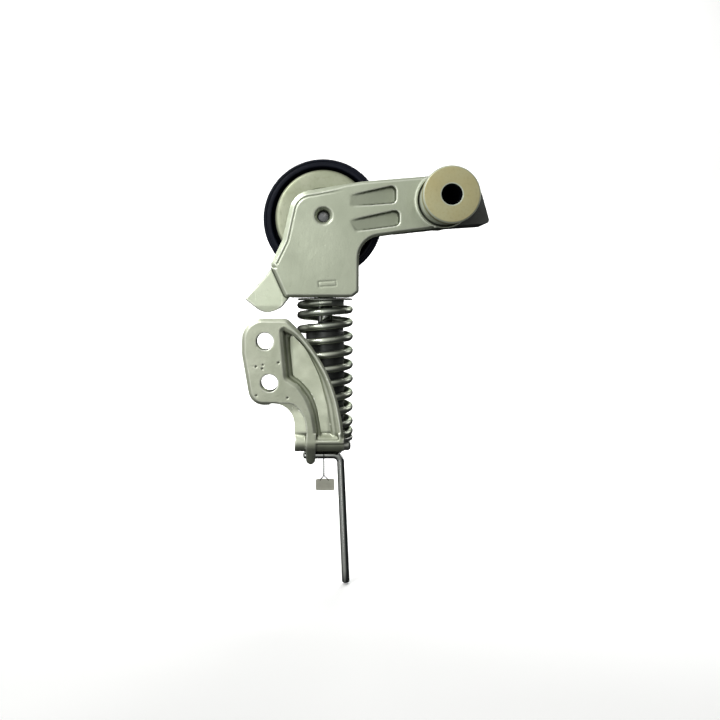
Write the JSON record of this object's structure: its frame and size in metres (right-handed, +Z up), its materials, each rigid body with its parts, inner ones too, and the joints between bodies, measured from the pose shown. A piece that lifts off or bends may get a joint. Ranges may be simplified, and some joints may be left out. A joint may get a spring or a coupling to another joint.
{
  "type": "belt tensioner",
  "caption": "Cast tensioner arm on a flanged pivot bush, with an idler pulley, a sprung damper strut and a mounting bracket locked by a bent transport pin.",
  "frame": {"origin": "centre of the pivot bore at the bush's seating face", "axes": "+X to the right along the arm away from the pulley, +Y away from the seating face along the pivot bore, +Z up along the strut"},
  "size_m": [0.1314, 0.0595, 0.2294],
  "materials": {
    "yellow_zinc": "satin",
    "nylon": "matte",
    "cast_aluminium": "cast, satin",
    "bearing_bronze": "satin",
    "dark_plastic": "matte",
    "zinc_plate": "satin",
    "bearing_steel": "polished",
    "bolt_steel": "satin",
    "pulley_black": "smooth",
    "seal_rubber": "matte",
    "chrome_rod": "polished",
    "spring_zinc": "satin",
    "dark_tube": "semi-gloss",
    "tag_card": "matte"
  },
  "bodies": {
    "pivot_mount": {"pivot_bush": "yellow_zinc", "front_thrust_washer": "nylon", "rear_thrust_washer": "nylon", "pivot_circlip": "bolt_steel"},
    "arm": {"tensioner_arm": "cast_aluminium", "pivot_liner": "bearing_bronze", "hub_cover": "dark_plastic", "dust_shield": "zinc_plate", "bearing_spacer": "bearing_steel", "bearing_inner_ring": "bearing_steel", "pulley_washer": "zinc_plate", "pulley_bolt": "bolt_steel", "strut_top_pin": "zinc_plate"},
    "pulley": {"pulley_rim": "pulley_black", "bearing_outer_ring": "bearing_steel", "bearing_balls": "bearing_steel", "ball_cage": "bearing_bronze", "front_seal": "seal_rubber", "rear_seal": "seal_rubber"},
    "strut": {"strut_rod": "chrome_rod", "strut_eye_bush": "bearing_bronze", "upper_spring_seat": "zinc_plate"},
    "piston": {"damper_piston": "bolt_steel", "coil_spring": "spring_zinc"},
    "foot": {"damper_tube": "dark_tube", "rod_guide": "seal_rubber", "strut_foot": "zinc_plate", "foot_bush": "bearing_bronze"},
    "bracket": {"mounting_bracket": "cast_aluminium", "bracket_pin": "zinc_plate", "bracket_pin_clip": "bolt_steel", "bracket_washers": "nylon"},
    "locking_pin": {"transport_pin": "chrome_rod"},
    "tag": {"tag_wire": "chrome_rod", "tag_plate": "tag_card"}
  },
  "joints": [
    {"name": "arm_swing", "type": "hinge", "parent": "pivot_mount", "child": "arm", "pos_m": [0, 0.034, 0], "axis": [0, 1, 0], "range_deg": [-20, 20]},
    {"name": "pulley_spin", "type": "hinge", "parent": "arm", "child": "pulley", "pos_m": [-0.0639, 0.0445, -0.0083], "axis": [0, 1, 0], "continuous": true},
    {"name": "strut_tilt", "type": "hinge", "parent": "arm", "child": "strut", "pos_m": [-0.0626, 0.04, -0.0462], "axis": [0, 1, 0], "range_deg": [-8, 3]},
    {"name": "strut_swivel", "type": "hinge", "parent": "strut", "child": "piston", "pos_m": [-0.0626, 0.04, -0.106], "axis": [0, 0, 1], "continuous": true},
    {"name": "strut_stroke", "type": "slide", "parent": "piston", "child": "foot", "axis": [0, 0, -1], "range_m": [0, 0.02], "deforming": ["coil_spring"]},
    {"name": "bracket_tilt", "type": "hinge", "parent": "foot", "child": "bracket", "pos_m": [-0.063, 0.04, -0.133], "axis": [1, 0, 0], "range_deg": [0, 35]},
    {"name": "pin_pull", "type": "slide", "parent": "bracket", "child": "locking_pin", "axis": [1, 0, 0], "range_m": [0, 0.025]},
    {"name": "tag_swing", "type": "hinge", "parent": "locking_pin", "child": "tag", "pos_m": [-0.0635, 0.028, -0.1363], "axis": [1, 0, 0], "range_deg": [-50, 50]}
  ]
}
